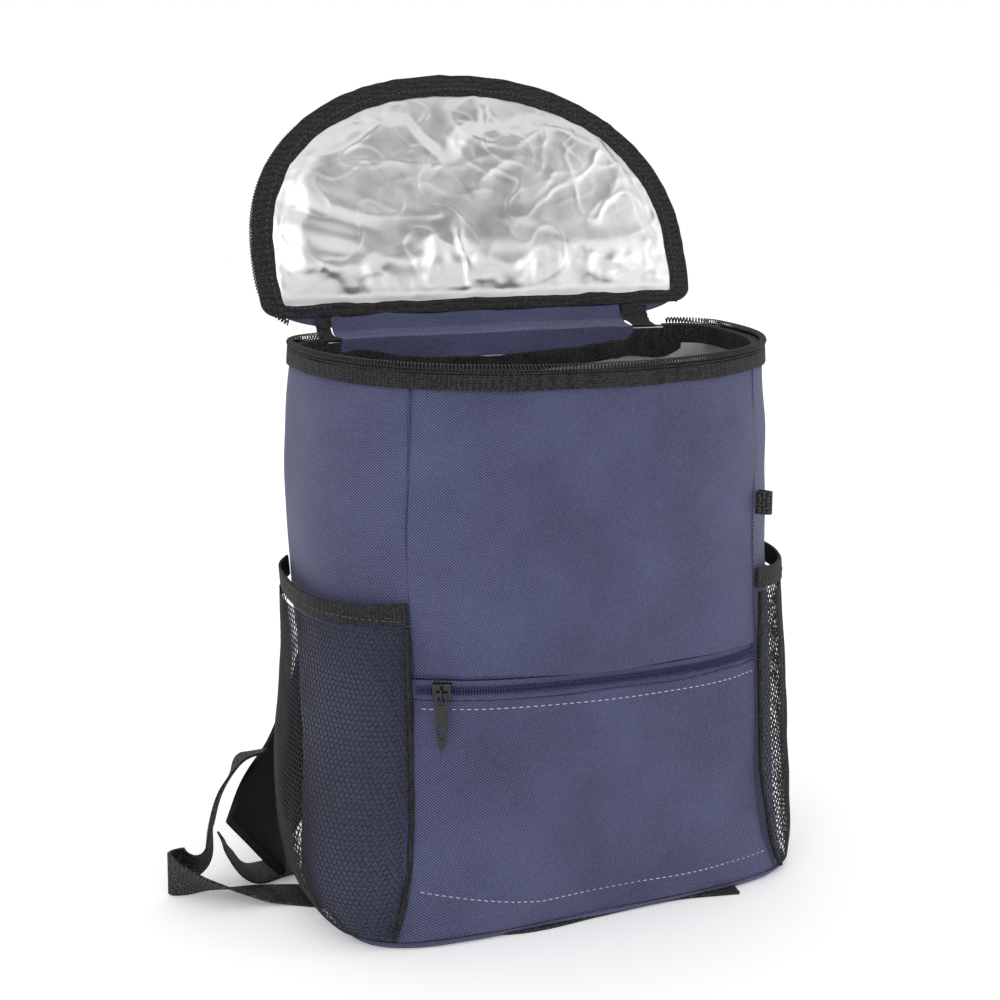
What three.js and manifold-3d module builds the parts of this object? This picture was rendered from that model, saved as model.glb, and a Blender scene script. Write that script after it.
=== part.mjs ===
// Cooler backpack, standing open with its lid folded back past upright.
// Millimetres, +Z up. The front faces -Y and the origin is the centre of the flat base.
import * as THREE from "three";
import { mergeVertices } from "three/addons/utils/BufferGeometryUtils.js";
import Module from "manifold-3d";

const wasm = await Module();
wasm.setup();

// Driving sizes of the bag
const bagWidth = 280;
const bagDepth = 166;
const bagHeight = 311;
const rimRise = 1.4;
const wallThickness = 3;
const liningThickness = 2;
const baseThickness = 4;
const baseEdgeRound = 2.5;

// Air left between pieces that touch on the real bag
const gap = 0.3;

// Front pocket and its zip
const pocketWall = 1.6;
const zipHeight = 141;
const pocketTapeWidth = 11;
const pocketTapeThickness = 0.9;
const pocketCoilWidth = 4.2;
const pocketCoilThickness = 1.5;

// Slider and puller
const sliderWay = -35.5;
const sliderLength = 10;
const sliderWidth = 9.5;
const sliderRise = 4.4;
const bailReach = 3;
const bailWire = 1.4;
const pullerBar = 1.5;
const pullerLength = 31;
const pullerWidth = 6.4;
const pullerThickness = 1.2;

// Rim zip and binding
const rimTapeWidth = 8;
const rimTapeThickness = 1;
const rimCoilRadius = 1.6;
const rimBindingThickness = 1.2;
const rimBindingDrop = 11;
const rimTopDrop = 4;
const rimZipEnd = 142.5;

// Lid
const lidTilt = 22.5;
const lidSetBack = 6.2;
const lidDrop = 1.4;
const lidShift = 0.5;
const lidWidthShare = 1.043;
const lidDepthShare = 0.985;
const lidThickness = 3;
const lidBindingWidth = 13;
const lidBindingThickness = 1.6;
const lidFoilPuff = 4;
const lidHingeMargin = 12;
const lidCoilSize = 3;

// Lid hinge
const hingeLeftEnd = 210;
const hingeRightEnd = 157.5;
const hingeStripThickness = 1.2;
const hingeStripDepth = 13;
const hingeBindingWidth = 10;
const hingeBindingThickness = 1.3;
const hingeEndTurn = 4.5;

// Side net pockets
const netHeight = 176;
const netSag = 4;
const netThickness = 1;
const netEdgeWidth = 12;
const netEdgeThickness = 1.8;
const netSlackLeft = 20;
const netSlackRight = 1;
const netMouth = 7;
const netBackEdge = 112.5;

// Webbing loop in the right front seam
const sideLoopHeight = 225;
const sideLoopReach = 9;
const sideLoopWidth = 13;
const sideLoopGap = 2.6;

// Shoulder straps
const webbingWidth = 25;
const webbingThickness = 1.5;
const padWidth = 58;
const padThickness = 6;

// A way round the bag is counted in degrees from the front: the side seams, back seams and their gap
const seamWay = 45;
const backSeamWay = 135;
const seamHalfGap = 0.1;
const stationStep = 7.5;

// Plan sections of the bag from the base to the rim.
// height is a share of bagHeight; half and shift are shares of bagWidth; front, wide and back of bagDepth.
// power squares off the front curve, seam is where the side seams lie on it, and twist is in degrees.
const sections = [
  { height: 0, half: 0.497, front: -0.4, wide: 0.09, back: 0.47, power: 5, seam: 44, twist: 0.5, shift: 0 },
  { height: 0.12, half: 0.487, front: -0.434, wide: 0.13, back: 0.5, power: 3.7, seam: 38.5, twist: -1.7, shift: -0.002 },
  { height: 0.4, half: 0.485, front: -0.458, wide: 0.146, back: 0.51, power: 2.7, seam: 41.5, twist: -3.8, shift: -0.005 },
  { height: 0.7, half: 0.493, front: -0.48, wide: 0.205, back: 0.51, power: 2.4, seam: 44, twist: -1.6, shift: -0.01 },
  { height: 1, half: 0.48, front: -0.483, wide: 0.195, back: 0.5, power: 2.15, seam: 46, twist: -1.5, shift: -0.006 },
];
const backPower = 4.5;

// How far the nets stand off the sides. height is a share of netHeight, slack a share of the net's
// slack and open a share of netMouth.
const netRows = [
  { height: 0, slack: 0.1, open: 0 },
  { height: 0.07, slack: 0.6, open: 0.6 },
  { height: 0.25, slack: 1, open: 1 },
  { height: 0.5, slack: 0.78, open: 1 },
  { height: 0.75, slack: 0.4, open: 1 },
  { height: 1, slack: 0, open: 1 },
];

// The wave of the hinge binding. way is the way round the bag and drop a share of hingeBindingWidth.
const hingeWaves = [
  { way: 130, drop: -0.5 },
  { way: 145, drop: 0.2 },
  { way: 160, drop: -0.15 },
  { way: 182, drop: 0.55 },
  { way: 204, drop: -0.35 },
  { way: 215, drop: 0.1 },
  { way: 230, drop: -0.55 },
];

const toRadians = Math.PI / 180;

function mix(from, to, share) {
  return from + (to - from) * share;
}

// A smooth reading of every column of a table at one value of its key column
function readTable(table, key, value) {
  const last = table.length - 1;
  const at = Math.min(Math.max(value, table[0][key]), table[last][key]);
  let low = 0;
  while (low < last - 1 && table[low + 1][key] < at) low += 1;
  const span = table[low + 1][key] - table[low][key];
  const share = (at - table[low][key]) / span;
  const slope = (column, index) => {
    const before = table[Math.max(index - 1, 0)];
    const after = table[Math.min(index + 1, last)];
    return (after[column] - before[column]) / (after[key] - before[key]);
  };
  const row = {};
  for (const column of Object.keys(table[0])) {
    const rise = table[low + 1][column] - table[low][column];
    const start = slope(column, low) * span;
    const end = slope(column, low + 1) * span;
    const bend = 3 * rise - 2 * start - end;
    const turn = start + end - 2 * rise;
    row[column] = table[low][column] + share * (start + share * (bend + share * turn));
  }
  return row;
}

// One point of a plan section, straight from its row, before the section is turned and shifted
function planPoint(row, angle) {
  const across = Math.sin(angle * toRadians);
  const along = Math.cos(angle * toRadians);
  const halfDepth = (along > 0 ? row.wide - row.front : row.back - row.wide) * bagDepth;
  const power = 2 / (along > 0 ? row.power : backPower);
  const x = Math.sign(across) * Math.abs(across) ** power * row.half * bagWidth;
  const y = row.wide * bagDepth - Math.sign(along) * Math.abs(along) ** power * halfDepth;
  return new THREE.Vector2(x, y);
}

// The angle on a section's curve for a way round the bag, so that a seam is at one way at every height
function curveAngle(way, seam) {
  const turn = way > 180 ? way - 360 : way;
  const size = Math.abs(turn);
  const inFront = size < seamWay;
  const angle = inFront ? (size / seamWay) * seam : mix(seam, 180, (size - seamWay) / (180 - seamWay));
  return Math.sign(turn) * angle;
}

// The point at a way round a section, moved out along the section's normal
function offsetPlanPoint(row, way, out) {
  const step = 0.5;
  const angle = curveAngle(way, row.seam);
  const tangent = planPoint(row, angle + step).sub(planPoint(row, angle - step)).normalize();
  return planPoint(row, angle).add(new THREE.Vector2(tangent.y, -tangent.x).multiplyScalar(out));
}

// A point of the bag at a way round it and a height.
// out is measured outwards from the cloth, and reach shrinks the section towards its middle.
function shell(way, height, out = 0, reach = 1) {
  const share = height / bagHeight;
  const row = readTable(sections, "height", share);
  const point = offsetPlanPoint(row, way, out).multiplyScalar(reach);
  point.rotateAround(new THREE.Vector2(0, 0), row.twist * toRadians);
  const tilt = rimRise * share ** 2 * (point.y / (bagDepth / 2));
  return new THREE.Vector3(point.x + row.shift * bagWidth, point.y, height + tilt);
}

// The ways that all pieces share between two ends, so that their faces run side by side
function stations(from, to) {
  const inner = [];
  for (let way = (Math.floor(from / stationStep) + 1) * stationStep; way < to - 0.01; way += stationStep) {
    inner.push(way);
  }
  return [from, ...inner, to];
}

// A closed body from points and triangles, with its faces turned outwards
function closedBody(points, triangles) {
  const geometry = new THREE.BufferGeometry().setFromPoints(points);
  geometry.setIndex(triangles.flat());
  const merged = mergeVertices(geometry, 1e-4);
  const index = merged.getIndex().array;
  const place = merged.getAttribute("position");
  const corner = [new THREE.Vector3(), new THREE.Vector3(), new THREE.Vector3()];
  const kept = [];
  let volume = 0;
  for (let i = 0; i < index.length; i += 3) {
    const [a, b, c] = [index[i], index[i + 1], index[i + 2]];
    if (a === b || b === c || a === c) continue;
    kept.push([a, b, c]);
    corner.forEach((vertex, k) => vertex.fromBufferAttribute(place, index[i + k]));
    volume += corner[0].dot(corner[1].clone().cross(corner[2]));
  }
  merged.setIndex(kept.flatMap(([a, b, c]) => (volume < 0 ? [a, c, b] : [a, b, c])));
  return merged;
}

// A closed body through rings of points. Each ring runs up one side of a wall and back down the other.
// A joined body closes on its first ring, and any other is capped between its two sides.
function loft(rings, joined = false) {
  const count = rings[0].length;
  const half = count / 2;
  const triangles = [];
  const spans = joined ? rings.length : rings.length - 1;
  for (let i = 0; i < spans; i += 1) {
    const here = i * count;
    const next = ((i + 1) % rings.length) * count;
    for (let j = 0; j < count; j += 1) {
      const k = (j + 1) % count;
      // Both sides split their quads along the same diagonal
      if (j < half) triangles.push([here + j, next + j, here + k], [next + j, next + k, here + k]);
      else triangles.push([here + j, next + j, next + k], [here + j, next + k, here + k]);
    }
  }
  if (!joined) {
    const end = (rings.length - 1) * count;
    for (let j = 0; j < half - 1; j += 1) {
      const [a, b, c, d] = [j, j + 1, count - 2 - j, count - 1 - j];
      triangles.push([a, b, c], [a, c, d]);
      triangles.push([end + a, end + c, end + b], [end + a, end + d, end + c]);
    }
  }
  return closedBody(rings.flat(), triangles);
}

// A profile of rows { out, height, bulge, reach } carried round the bag from one way to another.
// A bulge swells between the two ends, and sway lowers the profile along the way.
function carry(profile, from, to, sway = () => 0) {
  const joined = to - from === 360;
  const ways = stations(from, to).slice(0, joined ? -1 : undefined);
  const rings = ways.map((way) => {
    const swell = Math.sin((Math.PI * (way - from)) / (to - from)) ** 0.75;
    return profile.map((row) => {
      const out = row.out + (row.bulge ? row.bulge * swell : 0);
      return shell(way, row.height - sway(way, row.height, swell), out, row.reach ?? 1);
    });
  });
  return loft(rings, joined);
}

// The profile of a wall through some heights, with its outside at out(height)
function wallProfile(heights, thickness, out = () => 0) {
  const outside = heights.map((height) => ({ out: out(height), height }));
  const inside = outside.map((row) => ({ ...row, out: row.out - thickness })).reverse();
  return [...outside, ...inside];
}

const constant = (value) => () => value;
const group = new THREE.Group();

const cloth = { color: 0x474d78, roughness: 0.85 };
const blackTape = { color: 0x1d1d20, roughness: 0.8 };
const blackNet = { color: 0x26262a, roughness: 0.75 };
const blackPad = { color: 0x17171a, roughness: 0.7 };
const coilPlastic = { color: 0x2a2a2e, roughness: 0.35 };
const navyCoil = { color: 0x5a5f80, roughness: 0.45 };
const lacquer = { color: 0x151517, roughness: 0.3 };
const foil = { color: 0xc6c7c9, roughness: 0.28, metalness: 0.85 };

function addPiece(name, geometry, finish) {
  geometry.deleteAttribute("uv");
  geometry.computeVertexNormals();
  const mesh = new THREE.Mesh(geometry, new THREE.MeshStandardMaterial(finish));
  mesh.name = name;
  group.add(mesh);
  return mesh;
}

// Walls
const wallFoot = baseThickness + gap;
const wallTop = bagHeight - rimTopDrop;
const pocketRecess = pocketWall + gap;
const tapeTop = zipHeight + pocketTapeWidth / 2;
const tapeFoot = zipHeight - pocketTapeWidth / 2;

// The rows that all walls share, so that their edges run side by side, as shares of the two stretches
const lowerRows = [0, 0.12, 0.28, 0.6, 1];
const upperRows = [0, 0.34, 0.68, 1];
const wallHeights = [
  ...lowerRows.map((share) => mix(wallFoot, tapeFoot - gap, share)),
  tapeTop,
  ...upperRows.map((share) => mix(tapeTop + gap, wallTop, share)),
];

// Behind the pocket and its tape the front wall stands further in
const recessAt = (height) => (height > tapeTop ? 0 : -pocketRecess);
const frontEdge = seamWay - seamHalfGap;

function addWalls() {
  const wall = wallProfile(wallHeights, wallThickness);
  const frontWall = wallProfile(wallHeights, wallThickness, recessAt);
  const sideFrom = seamWay + seamHalfGap;
  const sideTo = backSeamWay - seamHalfGap;
  const backFrom = backSeamWay + seamHalfGap;
  addPiece("front_panel", carry(frontWall, -frontEdge, frontEdge), cloth);
  addPiece("side_panel_left", carry(wall, -sideTo, -sideFrom), cloth);
  addPiece("side_panel_right", carry(wall, sideFrom, sideTo), cloth);
  addPiece("back_panel", carry(wall, backFrom, 360 - backFrom), cloth);
}

function addFrontPocket() {
  const pocket = wallProfile(wallHeights.slice(0, lowerRows.length), pocketWall);
  addPiece("front_pocket", carry(pocket, -frontEdge, frontEdge), cloth);
  const tapeFace = gap + pocketTapeThickness - pocketRecess;
  const tape = wallProfile([tapeFoot, tapeTop - gap], pocketTapeThickness, constant(tapeFace));
  addPiece("pocket_zip_tape", carry(tape, -frontEdge, frontEdge), cloth);
  const coilFoot = tapeFace + gap;
  const half = pocketCoilWidth / 2;
  const coil = [
    { out: coilFoot, height: zipHeight - half },
    { out: coilFoot, height: zipHeight + half },
    { out: coilFoot + pocketCoilThickness, height: zipHeight + half / 2 },
    { out: coilFoot + pocketCoilThickness, height: zipHeight - half / 2 },
  ];
  addPiece("pocket_zip_coil", carry(coil, -frontEdge, frontEdge), navyCoil);
  return coilFoot;
}

// The local frame of the slider: x along the zip, y up the bag, z out of the cloth
function sliderFrame() {
  const place = shell(sliderWay, zipHeight);
  const out = shell(sliderWay, zipHeight, 10).sub(place).setZ(0).normalize();
  const up = new THREE.Vector3(0, 0, 1);
  const along = up.clone().cross(out).normalize();
  return new THREE.Matrix4().makeBasis(along, up, out).setPosition(place);
}

function toSolid(geometry) {
  const bare = geometry.clone();
  bare.deleteAttribute("normal");
  bare.deleteAttribute("uv");
  const merged = mergeVertices(bare, 1e-4);
  return new wasm.Manifold(
    new wasm.Mesh({
      numProp: 3,
      vertProperties: merged.getAttribute("position").array,
      triVerts: new Uint32Array(merged.getIndex().array),
    }),
  );
}

function toGeometry(solid) {
  const mesh = solid.getMesh();
  const geometry = new THREE.BufferGeometry();
  geometry.setAttribute("position", new THREE.BufferAttribute(mesh.vertProperties, 3));
  geometry.setIndex(new THREE.BufferAttribute(mesh.triVerts, 1));
  return geometry;
}

function polygon(points) {
  return new THREE.Shape(points.map(([x, y]) => new THREE.Vector2(x, y)));
}

function addSlider(coilFoot) {
  const frame = sliderFrame();
  const half = sliderWidth / 2;
  const channel = pocketCoilWidth / 2 + gap;
  const channelTop = coilFoot + pocketCoilThickness + gap;
  const top = channelTop + sliderRise / 2;
  const arch = polygon([
    [-half, coilFoot],
    [-channel, coilFoot],
    [-channel, channelTop],
    [channel, channelTop],
    [channel, coilFoot],
    [half, coilFoot],
    [half, top - 1],
    [half - 1, top],
    [1 - half, top],
    [-half, top - 1],
  ]);
  const body = new THREE.ExtrudeGeometry(arch, { depth: sliderLength, bevelEnabled: false });
  body.translate(0, 0, -sliderLength / 2);
  // The arch's plane holds the zip's normal and the height, so x becomes the height
  const archToFrame = new THREE.Matrix4().makeBasis(
    new THREE.Vector3(0, 1, 0),
    new THREE.Vector3(0, 0, 1),
    new THREE.Vector3(1, 0, 0),
  );
  body.applyMatrix4(archToFrame);
  const outer = half - 1;
  const inner = outer - bailWire;
  const sunk = 0.4;
  const bailShape = polygon([
    [-outer, top - sunk],
    [-inner, top - sunk],
    [-inner + 0.4, top + bailReach - 0.8],
    [-inner + 1.2, top + bailReach],
    [inner - 1.2, top + bailReach],
    [inner - 0.4, top + bailReach - 0.8],
    [inner, top - sunk],
    [outer, top - sunk],
    [outer, top + bailReach],
    [outer - 1, top + bailReach + bailWire],
    [1 - outer, top + bailReach + bailWire],
    [-outer, top + bailReach],
  ]);
  const bail = new THREE.ExtrudeGeometry(bailShape, { depth: bailWire, bevelEnabled: false });
  bail.translate(0, 0, -bailWire / 2);
  bail.applyMatrix4(archToFrame);
  const slider = toGeometry(toSolid(body).add(toSolid(bail)));
  addPiece("slider", slider.applyMatrix4(frame), lacquer);
  return { frame, pivotOut: top + bailReach / 2 };
}

// The puller hangs from its crossbar, which lies under the slider's bail
function addPuller({ frame, pivotOut }) {
  const half = pullerWidth / 2;
  const eye = half - 1.3;
  const barTop = pullerBar / 2;
  const eyeFoot = -sliderWidth / 2 - 1.2;
  const leafFoot = -pullerLength + 6;
  const outline = polygon([
    [-half, barTop],
    [-half, leafFoot * 0.55],
    [-half - 0.3, leafFoot * 0.75],
    [-1.5, -pullerLength + 3],
    [-1.5, -pullerLength + 1],
    [-0.6, -pullerLength],
    [0.6, -pullerLength],
    [1.5, -pullerLength + 1],
    [1.5, -pullerLength + 3],
    [half + 0.3, leafFoot * 0.75],
    [half, leafFoot * 0.55],
    [half, barTop],
  ]);
  const hole = (points) => new THREE.Path(points.map(([x, y]) => new THREE.Vector2(x, y)));
  outline.holes.push(
    hole([
      [-eye, -barTop],
      [eye, -barTop],
      [eye, eyeFoot],
      [-eye, eyeFoot],
    ]),
    hole([
      [0, leafFoot * 0.6],
      [1.9, leafFoot * 0.78],
      [0, leafFoot],
      [-1.9, leafFoot * 0.78],
    ]),
  );
  const plate = new THREE.ExtrudeGeometry(outline, { depth: pullerThickness, bevelEnabled: false });
  plate.translate(0, 0, pivotOut - pullerThickness / 2);
  addPiece("puller", plate.applyMatrix4(frame), lacquer);
}

function addLining() {
  const floor = wallFoot + liningThickness;
  const outside = wallHeights.map((height) => ({ out: recessAt(height) - wallThickness - gap, height }));
  const inside = outside.map((row) => ({
    out: row.out - liningThickness,
    height: Math.max(row.height, floor),
  }));
  const profile = [
    { ...outside[0], reach: 0 },
    ...outside,
    ...inside.reverse(),
    { ...inside.at(-1), reach: 0 },
  ];
  addPiece("foil_lining", carry(profile, -180, 180), foil);
}

function addRim() {
  const outer = gap + rimTapeThickness;
  const tape = wallProfile([wallTop - rimTapeWidth, wallTop], rimTapeThickness, constant(outer));
  addPiece("rim_zip_tape", carry(tape, -rimZipEnd, rimZipEnd), blackTape);
  const barFoot = wallTop + gap;
  const barTop = barFoot + rimBindingThickness;
  const inner = -wallThickness - liningThickness - 2 * gap;
  const binding = [
    { out: outer, height: barFoot },
    { out: inner, height: barFoot },
    { out: inner, height: barTop - rimBindingDrop },
    { out: inner - rimBindingThickness, height: barTop - rimBindingDrop },
    { out: inner - rimBindingThickness, height: barTop },
    { out: outer, height: barTop },
  ];
  addPiece("rim_binding", carry(binding, -rimZipEnd, rimZipEnd), blackTape);
  const coil = Array.from({ length: 6 }, (_, i) => ({
    out: outer / 2 - 0.4 + rimCoilRadius * Math.cos((i / 6) * 2 * Math.PI),
    height: barTop + gap + rimCoilRadius * (1 + Math.sin((i / 6) * 2 * Math.PI)),
  }));
  addPiece("rim_zip_coil", carry(coil, -rimZipEnd, rimZipEnd), coilPlastic);
}

// A point of the lid. inset runs in from the lid's edge, and out stands off its foil side.
function lidPoint(way, inset, out, reach = 1, margin = 0) {
  const row = { ...sections.at(-1) };
  row.half *= lidWidthShare;
  for (const column of ["front", "wide", "back"]) row[column] *= lidDepthShare;
  const plan = offsetPlanPoint(row, way, -inset);
  const hingeLine = row.back * bagDepth;
  const up = Math.max(hingeLine - plan.y, margin > 0 ? margin + inset : 0);
  const middle = (row.back - row.front) * 0.45 * bagDepth;
  return lidPlane(plan.x * reach + lidShift, mix(middle, up, reach), out);
}

// The foil side of the lid's cloth, counted from the middle of the edge binding
function lidPanelTop() {
  return -gap - lidBindingThickness / 2;
}

// A profile of rows { inset, out, reach } carried round the lid's outline from one way to another
function carryLid(profile, from, to, margin = 0, ripple = () => 0) {
  const joined = to - from === 360;
  const ways = stations(from, to).slice(0, joined ? -1 : undefined);
  const rings = ways.map((way) =>
    profile.map((row) => {
      const reach = row.reach ?? 1;
      return lidPoint(way, row.inset, row.out + ripple(way, row), reach, margin);
    }),
  );
  return loft(rings, joined);
}

function addLid() {
  const panelTop = lidPanelTop();
  const panelFoot = panelTop - lidThickness;
  const edge = lidCoilSize + gap;
  const panel = [
    { inset: edge, out: panelFoot - 2.4, reach: 0 },
    { inset: edge, out: panelFoot - 2, reach: 0.6 },
    { inset: edge + 2, out: panelFoot },
    { inset: edge, out: panelFoot + 1 },
    { inset: edge, out: panelTop },
    { inset: edge, out: panelTop, reach: 0 },
  ];
  addPiece("lid_panel", carryLid(panel, -180, 180), cloth);
  const face = panelTop + gap + lidBindingThickness;
  const binding = [
    { inset: 0, out: face - lidBindingThickness },
    { inset: lidBindingWidth, out: face - lidBindingThickness },
    { inset: lidBindingWidth, out: face },
    { inset: 0, out: face },
  ];
  addPiece("lid_binding", carryLid(binding, -180, 180, lidHingeMargin), blackTape);
  const foilEdge = lidBindingWidth + gap;
  const foilFoot = face - lidBindingThickness;
  const puffRows = [
    { reach: 0.95, puff: 0.55 },
    { reach: 0.8, puff: 0.9 },
    { reach: 0.6, puff: 1 },
    { reach: 0.3, puff: 0.85 },
    { reach: 0, puff: 0.8 },
  ];
  const foilProfile = [
    { inset: foilEdge, out: foilFoot, reach: 0 },
    { inset: foilEdge, out: foilFoot },
    { inset: foilEdge, out: foilFoot + 1 },
    ...puffRows.map(({ reach, puff }) => ({ inset: foilEdge, out: foilFoot + puff * lidFoilPuff, reach, soft: 1 })),
  ];
  // Creases that run in from the edge and die out in the middle
  const ripple = (way, row) =>
    row.soft ? 0.5 * Math.sin(way * toRadians * 9) * Math.sin(Math.PI * row.reach) : 0;
  addPiece("lid_foil", carryLid(foilProfile, -180, 180, lidHingeMargin, ripple), foil);
  const coilTop = panelTop - 0.6;
  const coil = [
    { inset: 0, out: panelFoot },
    { inset: 0, out: coilTop },
    { inset: lidCoilSize, out: coilTop },
    { inset: lidCoilSize, out: panelFoot },
  ];
  addPiece("lid_zip_coil", carryLid(coil, -rimZipEnd, rimZipEnd), coilPlastic);
}

// A point of the lid's own plane, at a distance across the bag and a distance up from the hinge line
function lidPlane(across, up, out) {
  const lean = lidTilt * toRadians;
  return new THREE.Vector3(
    across,
    bagDepth / 2 + lidSetBack + up * Math.sin(lean) - out * Math.cos(lean),
    bagHeight - lidDrop + up * Math.cos(lean) + out * Math.sin(lean),
  );
}

// A profile carried along the hinge, whose rows lie on the lid where they hold up, or else on the bag
function carryHinge(profile, from, to) {
  const rings = stations(from, to).map((way) =>
    profile.map((row) => {
      const onBag = shell(way, row.height ?? wallTop, row.out);
      return row.up === undefined ? onBag : lidPlane(onBag.x, row.up, row.out);
    }),
  );
  return loft(rings);
}

function addHinge() {
  const thick = hingeStripThickness;
  const onLid = -lidPanelTop() - gap;
  const inside = -wallThickness - liningThickness - 2 * gap;
  const over = wallTop + gap;
  const under = [
    { up: lidHingeMargin - gap, out: -onLid },
    { up: 2, out: -onLid },
    { out: 0.5, height: over },
    { out: inside, height: over },
    { out: inside, height: over - hingeStripDepth },
  ];
  const above = [
    { up: lidHingeMargin - gap, out: thick - onLid },
    { up: 3, out: thick - onLid },
    { out: -0.5, height: over + thick },
    { out: inside - thick, height: over + thick - 0.4 },
    { out: inside - thick, height: over - hingeStripDepth },
  ];
  const strip = [...under, ...above.reverse()];
  addPiece("hinge_strip", carryHinge(strip, hingeRightEnd, hingeLeftEnd), cloth);
  const bindingFace = inside - thick - gap;
  const foot = over - hingeStripDepth - hingeBindingWidth / 2;
  const bindingHeights = [foot, foot + hingeBindingWidth];
  const binding = wallProfile(bindingHeights, hingeBindingThickness, constant(bindingFace));
  const wave = (way) => hingeBindingWidth * readTable(hingeWaves, "way", way).drop;
  const waveEnds = [hingeWaves[0].way, hingeWaves.at(-1).way];
  addPiece("hinge_binding", carry(binding, ...waveEnds, wave), blackTape);
  const flap = [...under.slice(0, 4), ...above.slice(1)];
  const leftFrom = hingeLeftEnd + 2 * seamHalfGap;
  const rightTo = hingeRightEnd - 2 * seamHalfGap;
  addPiece("hinge_end_left", carryHinge(flap, leftFrom, leftFrom + hingeEndTurn), blackTape);
  addPiece("hinge_end_right", carryHinge(flap, rightTo - hingeEndTurn, rightTo), blackTape);
}

function addNetPocket(side, slack) {
  const sign = side === "left" ? -1 : 1;
  const foot = wallFoot;
  const heightAt = (share) => mix(foot, netHeight, share);
  const face = gap + netThickness;
  const outside = netRows.map((row) => ({
    out: face,
    height: heightAt(row.height),
    bulge: row.slack * slack + row.open * netMouth,
  }));
  const inside = outside.map((row) => ({ ...row, out: gap })).reverse();
  const ends = [sign * (seamWay + 2 * seamHalfGap), sign * netBackEdge].sort((a, b) => a - b);
  const sag = (way, height, swell) => (netSag * swell * (height - foot)) / netHeight;
  addPiece(`net_pocket_${side}`, carry([...outside, ...inside], ...ends, sag), blackNet);
  const low = netHeight + gap;
  const edge = wallProfile([low, low + netEdgeWidth], netEdgeThickness, constant(gap + netEdgeThickness));
  const edgeProfile = edge.map((row) => ({ ...row, bulge: netMouth }));
  addPiece(`pocket_edge_${side}`, carry(edgeProfile, ...ends, sag), blackTape);
}

// A loop of webbing folded over and sewn in the right front seam
function addSideLoop() {
  const place = shell(seamWay, sideLoopHeight, 2 * gap);
  const out = shell(seamWay, sideLoopHeight, 10).sub(place).setZ(0).normalize();
  const up = new THREE.Vector3(0, 0, 1);
  const frame = new THREE.Matrix4().makeBasis(out.clone().cross(up), out, up).setPosition(place);
  const inner = sideLoopGap / 2;
  const outer = inner + webbingThickness;
  const fold = polygon([
    [-outer, 0],
    [-inner, 0],
    [-inner, sideLoopReach - outer],
    [0, sideLoopReach - webbingThickness],
    [inner, sideLoopReach - outer],
    [inner, 0],
    [outer, 0],
    [outer, sideLoopReach - outer],
    [inner, sideLoopReach],
    [-inner, sideLoopReach],
    [-outer, sideLoopReach - outer],
  ]);
  const loop = new THREE.ExtrudeGeometry(fold, { depth: sideLoopWidth, bevelEnabled: false });
  loop.translate(0, 0, -sideLoopWidth / 2);
  addPiece("side_loop", loop.applyMatrix4(frame), blackTape);
}

// A flat band along a smooth route of stops.
// width is a function of the share of the way along, and edge is how far the band's edges are rounded.
function band(stops, width, thickness, steps, edge = 0) {
  const places = stops.map(
    ({ side, back, height }) =>
      new THREE.Vector3((side * bagWidth) / 2, (back * bagDepth) / 2, height * bagHeight),
  );
  const route = new THREE.CatmullRomCurve3(places);
  const widthRoute = new THREE.CatmullRomCurve3(stops.map((stop) => new THREE.Vector3(...stop.across)));
  const side = edge ? [[-1, 0.5], [edge - 1, 1], [1 - edge, 1], [1, 0.5]] : [[-1, 1], [1, 1]];
  const outline = [...side, ...side.map(([x, y]) => [x, -y]).reverse()];
  const rings = Array.from({ length: steps + 1 }, (_, i) => {
    const share = i / steps;
    const place = route.getPoint(share);
    const run = route.getTangent(share);
    const across = widthRoute.getPoint(share);
    across.addScaledVector(run, -across.dot(run)).normalize();
    const through = run.clone().cross(across);
    return outline.map(([x, y]) =>
      place
        .clone()
        .addScaledVector(across, (x * width(share)) / 2)
        .addScaledVector(through, (y * thickness) / 2),
    );
  });
  return loft(rings);
}

// Routes of the straps, as stops chosen by hand. side is a share of half the bag's width, back of half its
// depth and height of its height; across is the direction of the band's width.
const padLeft = [
  { side: -0.414, back: 1.06, height: 0.9325, across: [1, 0, 0] },
  { side: -0.421, back: 1.12, height: 0.8682, across: [1, 0, 0] },
  { side: -0.436, back: 1.373, height: 0.7653, across: [1, 0, 0] },
  { side: -0.471, back: 1.566, height: 0.6109, across: [1, 0, -0.1] },
  { side: -0.557, back: 1.639, height: 0.418, across: [0.93, 0.1, -0.35] },
  { side: -0.714, back: 1.506, height: 0.2476, across: [0.77, 0.15, -0.62] },
  { side: -0.914, back: 1.205, height: 0.1479, across: [0.6, 0.1, -0.79] },
  { side: -1.093, back: 0.855, height: 0.1125, across: [0.5, 0.03, -0.86] },
  { side: -1.186, back: 0.518, height: 0.0836, across: [0.64, -0.03, -0.77] },
];
const padRight = [
  { side: 0.414, back: 1.033, height: 0.9325, across: [1, 0, 0] },
  { side: 0.414, back: 1.108, height: 0.8746, across: [1, 0, 0] },
  { side: 0.421, back: 1.361, height: 0.791, across: [1, 0, 0] },
  { side: 0.443, back: 1.614, height: 0.6592, across: [1, 0, 0] },
  { side: 0.471, back: 1.699, height: 0.4984, across: [1, 0, 0] },
  { side: 0.5, back: 1.651, height: 0.328, across: [1, 0, 0] },
  { side: 0.536, back: 1.494, height: 0.1801, across: [1, 0, 0] },
  { side: 0.571, back: 1.301, height: 0.0965, across: [1, 0, 0] },
];
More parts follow.
